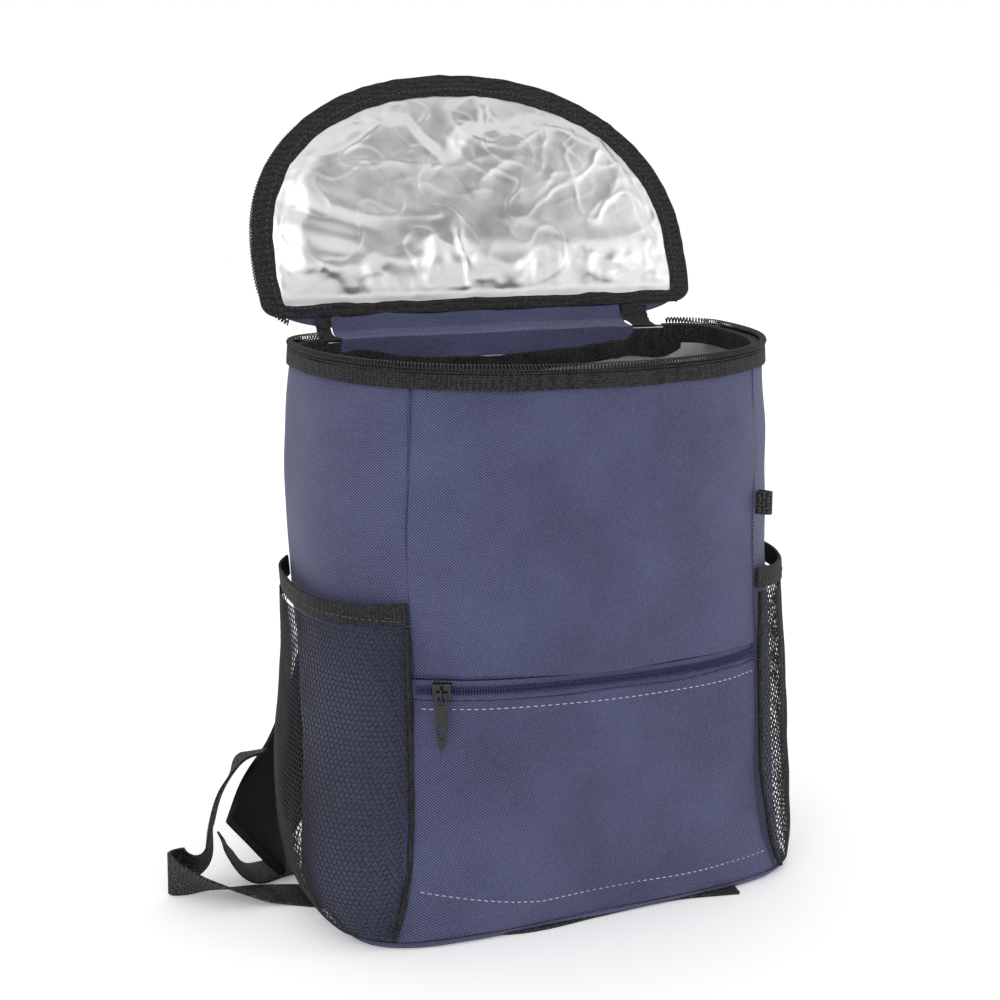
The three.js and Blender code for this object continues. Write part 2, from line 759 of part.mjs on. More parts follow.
// From the left pad's outer edge in an arc, round a loop on the floor, then flat under the base
const tailLeft = [
  { side: -1.093, back: 1.06, height: 0.2154, across: [-0.5, -0.83, -0.1] },
  { side: -1.171, back: 0.976, height: 0.2026, across: [-0.45, -0.88, 0.05] },
  { side: -1.271, back: 0.855, height: 0.164, across: [-0.36, -0.9, 0.18] },
  { side: -1.336, back: 0.723, height: 0.119, across: [-0.3, -0.88, 0.36] },
  { side: -1.357, back: 0.723, height: 0.074, across: [-0.2, -0.8, 0.5] },
  { side: -1.407, back: 0.747, height: 0.0514, across: [0, -0.4, 0.9] },
  { side: -1.471, back: 0.747, height: 0.045, across: [0, -0.2, 0.97] },
  { side: -1.521, back: 0.675, height: 0.0437, across: [0, 0, 1] },
  { side: -1.486, back: 0.59, height: 0.0386, across: [-0.15, -0.35, 0.92] },
  { side: -1.393, back: 0.506, height: 0.0315, across: [-0.25, -0.75, 0.62] },
  { side: -1.286, back: 0.434, height: 0.0209, across: [-0.2, -0.93, 0.36] },
  { side: -1.164, back: 0.386, height: 0.0084, across: [-0.25, -0.97, 0.08] },
  { side: -1.043, back: 0.313, height: 0.0035, across: [-0.35, -0.94, 0] },
  { side: -0.886, back: 0.12, height: 0.0032, across: [-0.6, -0.8, 0] },
  { side: -0.714, back: -0.181, height: 0.0032, across: [-0.7, -0.7, 0] },
  { side: -0.571, back: -0.482, height: 0.0032, across: [-0.6, -0.8, 0] },
  { side: -0.343, back: -0.663, height: 0.0032, across: [-0.2, -1, 0] },
  { side: 0, back: -0.639, height: 0.0032, across: [0, -1, 0] },
  { side: 0.343, back: -0.627, height: 0.0032, across: [-0.1, -1, 0] },
  { side: 0.621, back: -0.723, height: 0.0032, across: [-0.25, -1, 0] },
];
const anchorLeft = [
  { side: -1.313, back: 0.629, height: 0.1061, across: [0.3, 0.65, -0.7] },
  { side: -1.286, back: 0.602, height: 0.074, across: [0.4, 0.65, -0.6] },
  { side: -1.236, back: 0.614, height: 0.0418, across: [0.45, 0.8, -0.35] },
  { side: -1.157, back: 0.699, height: 0.0145, across: [0.2, 0.95, -0.1] },
  { side: -1.071, back: 0.771, height: 0.0064, across: [0.1, 1, 0] },
  { side: -0.981, back: 0.783, height: 0.0064, across: [0.15, 1, 0] },
];
const anchorRight = [
  { side: 0.572, back: 1.295, height: 0.0936, across: [1, 0, 0] },
  { side: 0.586, back: 1.205, height: 0.0482, across: [1, 0, 0] },
  { side: 0.6, back: 1.084, height: 0.0225, across: [1, 0, 0] },
  { side: 0.607, back: 0.963, height: 0.0193, across: [1, -0.15, 0] },
];
const padEndWidth = 50;
const padTaper = (share) => mix(padWidth, padEndWidth, share);
const evenWebbing = constant(webbingWidth);

function addStraps() {
  addPiece("strap_pad_left", band(padLeft, padTaper, padThickness, 24, 0.08), blackPad);
  addPiece("strap_pad_right", band(padRight, padTaper, padThickness, 18, 0.08), blackPad);
  addPiece("anchor_webbing_left", band(anchorLeft, evenWebbing, webbingThickness, 16), blackTape);
  addPiece("anchor_webbing_right", band(anchorRight, evenWebbing, webbingThickness, 8), blackTape);
  addPiece("webbing_tail_left", band(tailLeft, evenWebbing, webbingThickness, 72), blackTape);
}

// The base board, with a chamfered lower edge and a groove where the webbing runs under it
function addBase() {
  const profile = [
    { out: 0, height: 0, reach: 0 },
    { out: 0, height: 0, reach: 0.5 },
    { out: -baseEdgeRound, height: 0 },
    { out: 0, height: baseThickness * 0.6 },
    { out: 0, height: baseThickness },
    { out: 0, height: baseThickness, reach: 0 },
  ];
  const board = toSolid(carry(profile, -180, 180));
  const grooveWidth = constant(webbingWidth + 2 * gap);
  const channel = toSolid(band(tailLeft, grooveWidth, webbingThickness + 2 * gap, 72));
  // The groove runs a little past the webbing's cut end and is open below it
  const groove = channel.add(channel.translate([1, 0, 0])).add(channel.translate([1, 0, -webbingThickness]));
  addPiece("base_panel", toGeometry(board.subtract(groove)), cloth);
}

addWalls();
const coilFoot = addFrontPocket();
addPuller(addSlider(coilFoot));
addLining();
addRim();
addLid();
addHinge();
addNetPocket("left", netSlackLeft);
addNetPocket("right", netSlackRight);
addSideLoop();
addStraps();
addBase();

export default group;
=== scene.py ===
import math

import bmesh
import bpy
import numpy as np
from mathutils import Matrix, Vector, noise
from mathutils.bvhtree import BVHTree


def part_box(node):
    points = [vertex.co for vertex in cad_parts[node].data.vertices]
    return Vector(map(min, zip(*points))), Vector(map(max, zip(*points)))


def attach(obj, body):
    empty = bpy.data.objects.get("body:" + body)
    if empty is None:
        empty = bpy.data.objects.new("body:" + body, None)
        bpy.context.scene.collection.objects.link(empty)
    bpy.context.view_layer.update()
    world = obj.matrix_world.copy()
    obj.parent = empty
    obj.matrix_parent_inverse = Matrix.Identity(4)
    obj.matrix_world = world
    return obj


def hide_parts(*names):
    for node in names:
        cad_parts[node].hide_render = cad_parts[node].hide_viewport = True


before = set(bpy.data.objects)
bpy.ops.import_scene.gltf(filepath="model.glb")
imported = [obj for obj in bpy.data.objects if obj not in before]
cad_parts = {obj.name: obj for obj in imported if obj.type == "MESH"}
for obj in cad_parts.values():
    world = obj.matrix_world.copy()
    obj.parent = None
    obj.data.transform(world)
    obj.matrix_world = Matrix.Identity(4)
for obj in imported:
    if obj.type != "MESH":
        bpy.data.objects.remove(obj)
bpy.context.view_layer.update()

MM = 0.001
PACK = "pack"
# Further out than any piece, for rays that look inwards
FAR = 0.6

# The middle of the bag seen from above, which angles round the bag are counted about
MIDDLE = Vector((0, 8 * MM, 0))
# The front seams' angle there
SEAM_ANGLE = 47
RIM_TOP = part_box("rim_zip_coil")[1].z
WALL_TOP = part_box("front_panel")[1].z
ZIP_HEIGHT = sum(corner.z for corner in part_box("pocket_zip_coil")) / 2
NET_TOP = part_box("net_pocket_left")[1].z


def pick(obj):
    """Makes obj the only selected object and the active one."""
    bpy.ops.object.select_all(action="DESELECT")
    obj.select_set(True)
    bpy.context.view_layer.objects.active = obj


def apply(obj, kind, **settings):
    """Adds a modifier with its settings and applies it."""
    pick(obj)
    modifier = obj.modifiers.new(kind.lower(), kind)
    for key, value in settings.items():
        setattr(modifier, key, value)
    bpy.ops.object.modifier_apply(modifier=modifier.name)


def copy_node(node, name):
    """A copy of a CAD node with its triangles merged into one skin of quads."""
    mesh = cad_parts[node].data.copy()
    mesh.name = name
    mesh.materials.clear()
    obj = bpy.data.objects.new(name, mesh)
    bpy.context.collection.objects.link(obj)
    pick(obj)
    bpy.ops.object.mode_set(mode="EDIT")
    bpy.ops.mesh.select_all(action="SELECT")
    bpy.ops.mesh.customdata_custom_splitnormals_clear()
    bpy.ops.mesh.remove_doubles(threshold=0.01 * MM)
    bpy.ops.mesh.tris_convert_to_quads(face_threshold=math.pi, shape_threshold=math.pi)
    bpy.ops.object.mode_set(mode="OBJECT")
    return obj


def soften(obj, edge, levels):
    """Rounds the edges by edge, in metres, and smooths the faces between them."""
    apply(
        obj,
        "BEVEL",
        width=edge,
        segments=2,
        limit_method="ANGLE",
        angle_limit=math.radians(38),
    )
    apply(obj, "SUBSURF", levels=levels, render_levels=levels)
    pick(obj)
    bpy.ops.object.shade_smooth()
    return obj


def places(obj):
    """The mesh's vertex places and normals as two arrays."""
    count = len(obj.data.vertices)
    place = np.empty(count * 3)
    normal = np.empty(count * 3)
    obj.data.vertices.foreach_get("co", place)
    obj.data.vertices.foreach_get("normal", normal)
    return place.reshape(-1, 3), normal.reshape(-1, 3)


def push(obj, depth):
    """Moves each vertex along its normal by depth(place, normal), in metres."""
    place, normal = places(obj)
    moves = np.array([depth(Vector(p), Vector(n)) for p, n in zip(place, normal)])
    place += normal * moves[:, None]
    obj.data.vertices.foreach_set("co", place.ravel())
    obj.data.update()


def ride(obj, material, nodes=(), body=PACK):
    """Gives a finished piece its material and body, and hides the CAD nodes that it stands for."""
    obj.data.materials.clear()
    obj.data.materials.append(material)
    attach(obj, body)
    if nodes:
        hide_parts(*nodes)
    return obj


def mesh_piece(name, vertices, faces):
    """A new object from vertices and faces."""
    mesh = bpy.data.meshes.new(name)
    mesh.from_pydata([tuple(v) for v in vertices], [], faces)
    mesh.update()
    obj = bpy.data.objects.new(name, mesh)
    bpy.context.collection.objects.link(obj)
    pick(obj)
    bpy.ops.object.shade_smooth()
    return obj


class Around:
    """Finds places on some pieces by the angle round the bag, from the front, and the height."""

    def __init__(self, *objects):
        vertices, faces = [], []
        for obj in objects:
            first = len(vertices)
            vertices += [v.co.copy() for v in obj.data.vertices]
            faces += [[first + i for i in polygon.vertices] for polygon in obj.data.polygons]
        self.tree = BVHTree.FromPolygons(vertices, faces)

    def at(self, angle, height):
        """The outermost place and its normal at an angle in degrees."""
        turn = math.radians(angle)
        out = Vector((math.sin(turn), -math.cos(turn), 0))
        start = MIDDLE + out * FAR + Vector((0, 0, height))
        place, normal, _, _ = self.tree.ray_cast(start, -out)
        # A ray that misses the near side would find the far one from inside
        near = place is not None and (place - MIDDLE).dot(out) > 0
        return (place, normal) if near else None

    def path(self, start, end, height, step=1.0, out=0.0):
        """Places and normals from one angle to another; height is a number or a function of the angle."""
        places_, normals = [], []
        count = max(2, int(abs(end - start) / step) + 1)
        for angle in np.linspace(start, end, count):
            level = height(angle) if callable(height) else height
            found = self.at(angle, level)
            if found:
                places_.append(found[0] + found[1] * out)
                normals.append(found[1])
        return places_, normals


def tree_of(obj):
    """A search tree over an object's faces."""
    return BVHTree.FromPolygons(
        [v.co.copy() for v in obj.data.vertices], [list(f.vertices) for f in obj.data.polygons]
    )


def angle_of(place):
    """The angle round the bag of a place, in degrees from the front."""
    return math.degrees(math.atan2(place.x - MIDDLE.x, MIDDLE.y - place.y))


def evenly(points, normals, spacing, smooth=0):
    """Places, directions and normals evenly spaced along a line of points."""
    points = np.array([tuple(p) for p in points])
    normals = np.array([tuple(n) for n in normals])
    for _ in range(smooth):
        points[1:-1] = points[1:-1] * 0.5 + (points[:-2] + points[2:]) * 0.25
        normals[1:-1] = normals[1:-1] * 0.5 + (normals[:-2] + normals[2:]) * 0.25
    lengths = np.concatenate([[0], np.cumsum(np.linalg.norm(np.diff(points, axis=0), axis=1))])
    count = max(2, int(round(lengths[-1] / spacing)))
    wanted = np.linspace(0, lengths[-1], count + 1)
    place = np.stack([np.interp(wanted, lengths, points[:, i]) for i in range(3)], 1)
    normal = np.stack([np.interp(wanted, lengths, normals[:, i]) for i in range(3)], 1)
    along = np.gradient(place, axis=0)
    along /= np.linalg.norm(along, axis=1)[:, None]
    normal -= along * (normal * along).sum(1)[:, None]
    normal /= np.linalg.norm(normal, axis=1)[:, None]
    return place, along, normal


def tube(name, centres, alongs, normals, radius, sides=6):
    """A round tube of one radius along centres, closed at both ends."""
    vertices, faces = [], []
    for place, along, normal in zip(centres, alongs, normals):
        side = np.cross(along, normal)
        for i in range(sides):
            turn = 2 * math.pi * i / sides
            vertices.append(place + radius * (math.cos(turn) * normal + math.sin(turn) * side))
    rings = len(centres)
    for ring in range(rings - 1):
        after = ring + 1
        for i in range(sides):
            j = (i + 1) % sides
            faces.append([ring * sides + i, ring * sides + j, after * sides + j, after * sides + i])
    faces.append(list(range(sides))[::-1])
    faces.append([(rings - 1) * sides + i for i in range(sides)])
    obj = mesh_piece(name, vertices, faces)
    pick(obj)
    bpy.ops.object.mode_set(mode="EDIT")
    bpy.ops.mesh.select_all(action="SELECT")
    bpy.ops.mesh.normals_make_consistent(inside=False)
    bpy.ops.object.mode_set(mode="OBJECT")
    return obj


def coil(name, points, normals, radius, pitch, wire, flat=1.0, smooth=2):
    """A zip's coil: a wire wound along a line of points. flat squashes it along the normal."""
    turn_steps = 8
    place, along, normal = evenly(points, normals, pitch / turn_steps, smooth)
    side = np.cross(along, normal)
    turn = 2 * math.pi * np.arange(len(place)) / turn_steps
    centres = place + radius * (
        flat * np.cos(turn)[:, None] * normal + np.sin(turn)[:, None] * side
    )
    run = np.gradient(centres, axis=0)
    run /= np.linalg.norm(run, axis=1)[:, None]
    outward = centres - place
    outward -= run * (outward * run).sum(1)[:, None]
    outward /= np.linalg.norm(outward, axis=1)[:, None]
    return tube(name, centres, run, outward, wire / 2, sides=4)


def stitches(name, points, normals, length, spacing, thread):
    """A row of stitches: one small thread bead, repeated along a line of points."""
    bpy.ops.object.select_all(action="DESELECT")
    bpy.ops.mesh.primitive_uv_sphere_add(segments=6, ring_count=5, radius=0.5)
    bead = bpy.context.object
    shape = np.array([tuple(v.co) for v in bead.data.vertices])
    skin = [list(p.vertices) for p in bead.data.polygons]
    bpy.data.objects.remove(bead)
    place, along, normal = evenly(points, normals, spacing, 1)
    vertices, faces = [], []
    for middle, run, out in zip(place[1:-1], along[1:-1], normal[1:-1]):
        side = np.cross(run, out)
        first = len(vertices)
        for x, y, z in shape:
            vertices.append(middle + z * length * run + x * thread * out + y * thread * side)
        faces += [[first + i for i in face] for face in skin]
    return mesh_piece(name, vertices, faces)


def srgb(value):
    """A hex colour as linear RGBA."""
    parts = [int(value[i : i + 2], 16) / 255 for i in (1, 3, 5)]
    return [c / 12.92 if c <= 0.04045 else ((c + 0.055) / 1.055) ** 2.4 for c in parts] + [1]


def new_material(name):
    """A material with a bare Principled shader. Returns it, its node tree and the shader."""
    material = bpy.data.materials.new(name)
    material.use_nodes = True
    tree = material.node_tree
    shader = next(n for n in tree.nodes if n.type == "BSDF_PRINCIPLED")
    return material, tree, shader


def add(tree, kind, links=(), **settings):
    """Adds one node. settings are its properties, or sockets by number or name in values."""
    node = tree.nodes.new(kind)
    for socket, value in settings.pop("values", {}).items():
        node.inputs[socket].default_value = value
    for key, value in settings.items():
        setattr(node, key, value)
    for socket, source in dict(links).items():
        tree.links.new(source, node.inputs[socket])
    return node


# Shapes of the cloth

def fold(value, middle, width):
    """A soft hump round middle, 0 to 1."""
    return math.exp(-(((value - middle) / width) ** 2))


def slack(place, scale, depth, seed=0.0):
    """Soft unevenness of cloth, with lumps about 1/scale metres apart."""
    return depth * noise.noise(place * scale + Vector((seed, seed * 1.7, -seed)))


def crease(place, scale, depth, seed=0.0):
    """Sharp crumples, as in foil: ridges where the noise crosses zero."""
    value = noise.noise(place * scale + Vector((seed, -seed, seed * 2.3)))
    return depth * (1 - min(1, abs(value) * 5)) ** 2


def faces_out(place, normal):
    """1 on the outside of the bag, falling to 0 on the faces that look at its middle."""
    out = Vector((place.x - MIDDLE.x, place.y - MIDDLE.y, 0)).normalized()
    return min(1, max(0, 0.5 + 2 * normal.dot(out)))


def wall_slack(place, normal):
    """The outside of the walls: soft lumps, puckers by the front seams, and a slump above the base."""
    angle = angle_of(place)
    seam = min(abs(abs(angle) - SEAM_ANGLE), 30)
    pucker = 0.5 * MM * math.exp(-seam / 5) * math.sin(place.z / (9 * MM) + angle * 0.3)
    slump = 1.6 * MM * fold(place.z, 22 * MM, 14 * MM) * noise.noise(place * 22)
    lumps = slack(place, 11, 3.0 * MM) + slack(place, 30, 0.9 * MM, 4)
    return (lumps + pucker + slump) * faces_out(place, normal)


def foil_slack(place, normal):
    """The inside of the foil lining: crumples that stand into the tub."""
    crumples = (
        slack(place, 24, 1.2 * MM, 2)
        + crease(place, 17, 1.0 * MM, 3)
        + crease(place, 34, 0.45 * MM, 8)
        + 0.2 * MM
    )
    below_rim = min(1, max(0, (WALL_TOP - place.z) / (16 * MM)))
    return crumples * (1 - faces_out(place, normal)) * below_rim


def tape_slack(place, normal):
    """Tapes: fine unevenness."""
    return slack(place, 45, 0.5 * MM, 6)


def binding_ripple(place, normal):
    """The lid's binding: gathered round the curve, so that its edge is slightly bumpy."""
    return slack(place, 130, 0.55 * MM, 3) + slack(place, 48, 0.7 * MM, 6)


def lid_slack(place, normal):
    """The lid's cloth: soft lumps on its outside only, because the foil lies on the inside."""
    return slack(place, 14, 1.6 * MM, 6) * max(0, normal.y)


def hinge_slack(place, normal):
    """The hinge: rumpled cloth."""
    return slack(place, 30, 1.6 * MM, 9) + crease(place, 40, 0.7 * MM, 5)


def pad_slack(place, normal):
    """The strap pads: soft foam that isn't quite even."""
    return slack(place, 28, 0.9 * MM, 12)


def around_uv(obj):
    """UVs in metres: the way round the bag across, and the height up."""
    radius = 112 * MM
    mesh = obj.data
    layer = mesh.uv_layers.new(name="cloth") if not mesh.uv_layers else mesh.uv_layers[0]
    for loop in mesh.loops:
        place = mesh.vertices[loop.vertex_index].co
        angle = math.atan2(place.x - MIDDLE.x, MIDDLE.y - place.y)
        layer.data[loop.index].uv = (angle * radius, place.z)


def flat_uv(obj):
    """UVs in metres on a piece that lies or leans back: across, and away."""
    mesh = obj.data
    layer = mesh.uv_layers.new(name="cloth") if not mesh.uv_layers else mesh.uv_layers[0]
    for loop in mesh.loops:
        place = mesh.vertices[loop.vertex_index].co
        layer.data[loop.index].uv = (place.x, place.y * 0.4 + place.z)


# Finishes

THREAD = 1.15 * MM


def woven_polyester(name, warp, weft, depth):
    """600D polyester canvas, plain woven: matte, with a fine dotted weave and a soft sheen.
    The real thread spacing of 0.5 mm is drawn at THREAD, so that it shows."""
    material, tree, shader = new_material(name)
    uv = add(tree, "ShaderNodeUVMap", uv_map="cloth").outputs[0]
    turned = add(tree, "ShaderNodeMapping", {0: uv}, values={2: (0, 0, math.radians(38))}).outputs[0]
    rows = [
        add(
            tree,
            "ShaderNodeTexWave",
            {0: turned},
            bands_direction=direction,
            values={"Scale": 0.314 / THREAD, "Distortion": 0.6, "Detail": 1.0, "Detail Scale": 60},
        ).outputs[1]
        for direction in ("X", "Y")
    ]
    both = add(tree, "ShaderNodeMath", {0: rows[0], 1: rows[1]}, operation="MULTIPLY").outputs[0]
    grain = add(
        tree, "ShaderNodeTexNoise", {0: uv}, values={"Scale": 420, "Detail": 4.0, "Roughness": 0.7}
    ).outputs[0]
    cloudy = add(tree, "ShaderNodeTexNoise", {0: uv}, values={"Scale": 14, "Detail": 3.0}).outputs[0]
    mixed = add(tree, "ShaderNodeMath", {0: both, 1: grain}, operation="MULTIPLY").outputs[0]
    shade = add(tree, "ShaderNodeMath", {0: cloudy}, operation="MULTIPLY", values={1: 0.25}).outputs[0]
    factor = add(tree, "ShaderNodeMath", {0: mixed, 1: shade}, operation="ADD", use_clamp=True).outputs[0]
    ramp = add(tree, "ShaderNodeValToRGB", {0: factor})
    ramp.color_ramp.elements[0].color = srgb(warp)
    ramp.color_ramp.elements[0].position = 0.05
    ramp.color_ramp.elements[1].color = srgb(weft)
    ramp.color_ramp.elements[1].position = 0.66
    tree.links.new(ramp.outputs[0], shader.inputs["Base Color"])
    bump = add(
        tree, "ShaderNodeBump", {"Height": mixed}, values={"Strength": depth, "Distance": 0.5 * MM}
    )
    tree.links.new(bump.outputs[0], shader.inputs["Normal"])
    shader.inputs["Roughness"].default_value = 0.82
    shader.inputs["Sheen Weight"].default_value = 0.12
    shader.inputs["Sheen Roughness"].default_value = 0.45
    shader.inputs["Specular IOR Level"].default_value = 0.35
    return material


def foil_film():
    """Aluminised film heat-sealed to foam: bright satin metal with fine crumples."""
    material, tree, shader = new_material("aluminised_film")
    place = add(tree, "ShaderNodeTexCoord").outputs["Object"]
    crumple = add(
        tree,
        "ShaderNodeTexVoronoi",
        {0: place},
        feature="DISTANCE_TO_EDGE",
        values={"Scale": 46, "Randomness": 1.0},
    ).outputs[0]
    soft = add(tree, "ShaderNodeTexNoise", {0: place}, values={"Scale": 60, "Detail": 6.0}).outputs[0]
    height = add(tree, "ShaderNodeMath", {0: crumple, 1: soft}, operation="ADD").outputs[0]
    bump = add(
        tree, "ShaderNodeBump", {"Height": height}, values={"Strength": 0.22, "Distance": 1.2 * MM}
    )
    tree.links.new(bump.outputs[0], shader.inputs["Normal"])
    rough = add(
        tree, "ShaderNodeMapRange", {0: soft}, values={1: 0.3, 2: 0.7, 3: 0.32, 4: 0.44}
    ).outputs[0]
    tree.links.new(rough, shader.inputs["Roughness"])
    shader.inputs["Base Color"].default_value = srgb("#dfdfe0")
    shader.inputs["Metallic"].default_value = 1.0
    return material


def webbing_weave(name, dark, light, spacing, depth):
    """Polypropylene or polyester webbing and tape: black, woven in small raised beads."""
    material, tree, shader = new_material(name)
    place = add(tree, "ShaderNodeTexCoord").outputs["Object"]
    beads = add(
        tree, "ShaderNodeTexVoronoi", {0: place}, values={"Scale": 1 / spacing, "Randomness": 0.35}
    ).outputs[0]
    grain = add(tree, "ShaderNodeTexNoise", {0: place}, values={"Scale": 900, "Detail": 3.0}).outputs[0]
    height = add(tree, "ShaderNodeMath", {1: beads}, operation="SUBTRACT", values={0: 1.0}).outputs[0]
    factor = add(tree, "ShaderNodeMath", {0: height, 1: grain}, operation="MULTIPLY").outputs[0]
    ramp = add(tree, "ShaderNodeValToRGB", {0: factor})
    ramp.color_ramp.elements[0].color = srgb(dark)
    ramp.color_ramp.elements[0].position = 0.15
    ramp.color_ramp.elements[1].color = srgb(light)
    ramp.color_ramp.elements[1].position = 0.6
    tree.links.new(ramp.outputs[0], shader.inputs["Base Color"])
    bump = add(
        tree, "ShaderNodeBump", {"Height": height}, values={"Strength": depth, "Distance": 0.6 * MM}
    )
    tree.links.new(bump.outputs[0], shader.inputs["Normal"])
    shader.inputs["Roughness"].default_value = 0.75
    shader.inputs["Specular IOR Level"].default_value = 0.3
    return material


def plain_plastic(name, colour, roughness, grain):
    """Moulded or drawn plastic and enamelled metal: smooth, with faint mottling."""
    material, tree, shader = new_material(name)
    place = add(tree, "ShaderNodeTexCoord").outputs["Object"]
    mottle = add(tree, "ShaderNodeTexNoise", {0: place}, values={"Scale": grain, "Detail": 3.0}).outputs[0]
    rough = add(
        tree,
        "ShaderNodeMapRange",
        {0: mottle},
        values={1: 0.2, 2: 0.8, 3: roughness * 0.8, 4: roughness * 1.2},
    ).outputs[0]
    tree.links.new(rough, shader.inputs["Roughness"])
    shader.inputs["Base Color"].default_value = srgb(colour)
    return material


# Bag cloth: matte slate blue with a dotted weave
navy_canvas = woven_polyester("navy_600d_polyester", "#0e1329", "#787ca9", 1.0)
# Lining and lid: bright, softly mirroring foil
aluminised_film = foil_film()
# Bindings and elastics: black with a fine raised rib
black_binding = webbing_weave("black_grosgrain_binding", "#060607", "#3f3f42", 1.4 * MM, 0.9)
# Strap webbing: black with larger, lighter beads
black_webbing = webbing_weave("black_polypropylene_webbing", "#040405", "#58585a", 1.8 * MM, 1.0)
# Strap pads: the deepest black, nearly flat
black_pad_cloth = webbing_weave("black_polyester_pad_cloth", "#030304", "#151517", 0.9 * MM, 0.3)
# Net thread: dull black
net_thread = plain_plastic("black_polyester_net", "#1b1b1e", 0.6, 900)
# Main zip's coil: black with a small glint on each tooth
black_coil = plain_plastic("black_nylon_coil", "#1a1a1d", 0.35, 700)
# Pocket zip's coil and the seam thread: dark navy, slightly shiny
navy_coil = plain_plastic("navy_nylon_coil", "#30345a", 0.45, 700)
# Slider and puller: glossy black enamel
black_enamel = plain_plastic("black_enamelled_zinc", "#0c0c0e", 0.25, 300)
# Pocket stitches: pale dashes
white_thread = plain_plastic("pale_grey_thread", "#b9bcc9", 0.7, 900)
# Binding and elastic stitches: dashes just lighter than the tape
grey_thread = plain_plastic("dark_grey_thread", "#4c4c50", 0.7, 900)


# Cloth, foil and tape pieces: each is a softened copy of its CAD solid

SOFT_PIECES = [
    # node, piece, edge round in mm, smoothing levels, slack, UVs, material, slot
    ("front_panel", "front_cloth", 1.8, 3, wall_slack, around_uv, navy_canvas, "cloth"),
    ("side_panel_left", "side_cloth_left", 1.8, 3, wall_slack, around_uv, navy_canvas, "cloth"),
    ("side_panel_right", "side_cloth_right", 1.8, 3, wall_slack, around_uv, navy_canvas, "cloth"),
    ("back_panel", "back_cloth", 1.8, 3, wall_slack, around_uv, navy_canvas, "cloth"),
    ("front_pocket", "pocket_cloth", 0.7, 3, wall_slack, around_uv, navy_canvas, "cloth"),
    ("base_panel", "base_cloth", 0.3, 1, tape_slack, flat_uv, navy_canvas, "cloth"),
    ("lid_panel", "lid_cloth", 0.8, 2, lid_slack, flat_uv, navy_canvas, "cloth"),
    ("hinge_strip", "hinge_cloth", 0.4, 3, hinge_slack, flat_uv, navy_canvas, "cloth"),
    ("pocket_zip_tape", "pocket_tape", 0.3, 2, None, around_uv, navy_canvas, "cloth"),
    ("foil_lining", "foil_tub", 0.6, 2, foil_slack, None, aluminised_film, "foil"),
    ("rim_zip_tape", "rim_tape", 0.3, 2, tape_slack, None, black_binding, "tape"),
    ("rim_binding", "rim_inner_binding", 0.4, 2, tape_slack, None, black_binding, "tape"),
    ("lid_binding", "lid_edge_binding", 0.5, 3, binding_ripple, None, black_binding, "tape"),
    ("hinge_binding", "hinge_edge_binding", 0.4, 3, hinge_slack, None, black_binding, "tape"),
    ("hinge_end_left", "hinge_fold_left", 0.3, 3, hinge_slack, None, black_binding, "tape"),
    ("hinge_end_right", "hinge_fold_right", 0.3, 3, hinge_slack, None, black_binding, "tape"),
    ("pocket_edge_left", "net_edge_left", 0.6, 2, tape_slack, None, black_binding, "tape"),
    ("pocket_edge_right", "net_edge_right", 0.6, 2, tape_slack, None, black_binding, "tape"),
    ("side_loop", "seam_loop", 0.4, 2, tape_slack, None, black_webbing, "tape"),
    ("anchor_webbing_left", "anchor_left", 0.4, 2, None, None, black_webbing, "tape"),
    ("anchor_webbing_right", "anchor_right", 0.4, 2, None, None, black_webbing, "tape"),
    ("webbing_tail_left", "tail_left", 0.4, 2, None, None, black_webbing, "tape"),
]
made = {}
for node, name, edge, levels, slack_of, uv_of, material, slot in SOFT_PIECES:
    piece = soften(copy_node(node, name), edge * MM, levels)
    if slack_of:
        push(piece, slack_of)
    if uv_of:
        uv_of(piece)
    made[name] = ride(piece, material, [node])


def widen(obj, share):
    """Stretches a piece away from the middle of the bag, by a share of its width."""
    place, _ = places(obj)
    x = place[:, 0]
    kept = x.min() if x.mean() > 0 else x.max()
    place[:, 0] = kept + (x - kept) * share
    obj.data.vertices.foreach_set("co", place.ravel())
    obj.data.update()


# The folded elastics at the hinge's ends are wider than the tapes that hold them
widen(made["hinge_fold_right"], 2.4)
widen(made["hinge_fold_left"], 1.5)


def corner_tape(side, start, end):
    """Black tape over the foil's edge, between the hinge and the end of the rim's binding."""
    tub = tree_of(made["foil_tub"])
    count = 9
    drops = (2, 4, 7, 10, 13)
    vertices = []
    for angle in np.linspace(start, end, count):
        turn = math.radians(angle)
        out = Vector((math.sin(turn), -math.cos(turn), 0))
        for number, drop in enumerate(drops):
            level = WALL_TOP - drop * MM
            inner = tub.ray_cast(MIDDLE + Vector((0, 0, level)), out)[0] - out * 0.9 * MM
            if number == 0:
                vertices += [inner + Vector((0, 0, 3 * MM)) + out * reach * MM for reach in (6, 0.4)]
            vertices.append(inner)
    rows = len(drops) + 2
    faces = [
        [i * rows + j, i * rows + j + 1, (i + 1) * rows + j + 1, (i + 1) * rows + j]
        for i in range(count - 1)
        for j in range(rows - 1)
    ]
    tape = mesh_piece(f"corner_tape_{side}", vertices, faces)
    apply(tape, "SOLIDIFY", thickness=0.8 * MM, offset=0)
    soften(tape, 0.2 * MM, 1)
    ride(tape, black_binding)


corner_tape("right", 117, 131)
corner_tape("left", -116, -128)

for side in ("left", "right"):
    pad = soften(copy_node(f"strap_pad_{side}", f"pad_{side}"), 1.6 * MM, 2)
    push(pad, pad_slack)
    ride(pad, black_pad_cloth, [f"strap_pad_{side}"])

# The slider and the puller keep the shape of their solids, with softer edges
slider = soften(copy_node("slider", "zip_slider"), 0.35 * MM, 1)
ride(slider, black_enamel, ["slider"])
puller = soften(copy_node("puller", "zip_puller"), 0.3 * MM, 1)
ride(puller, black_enamel, ["puller"], body="puller")


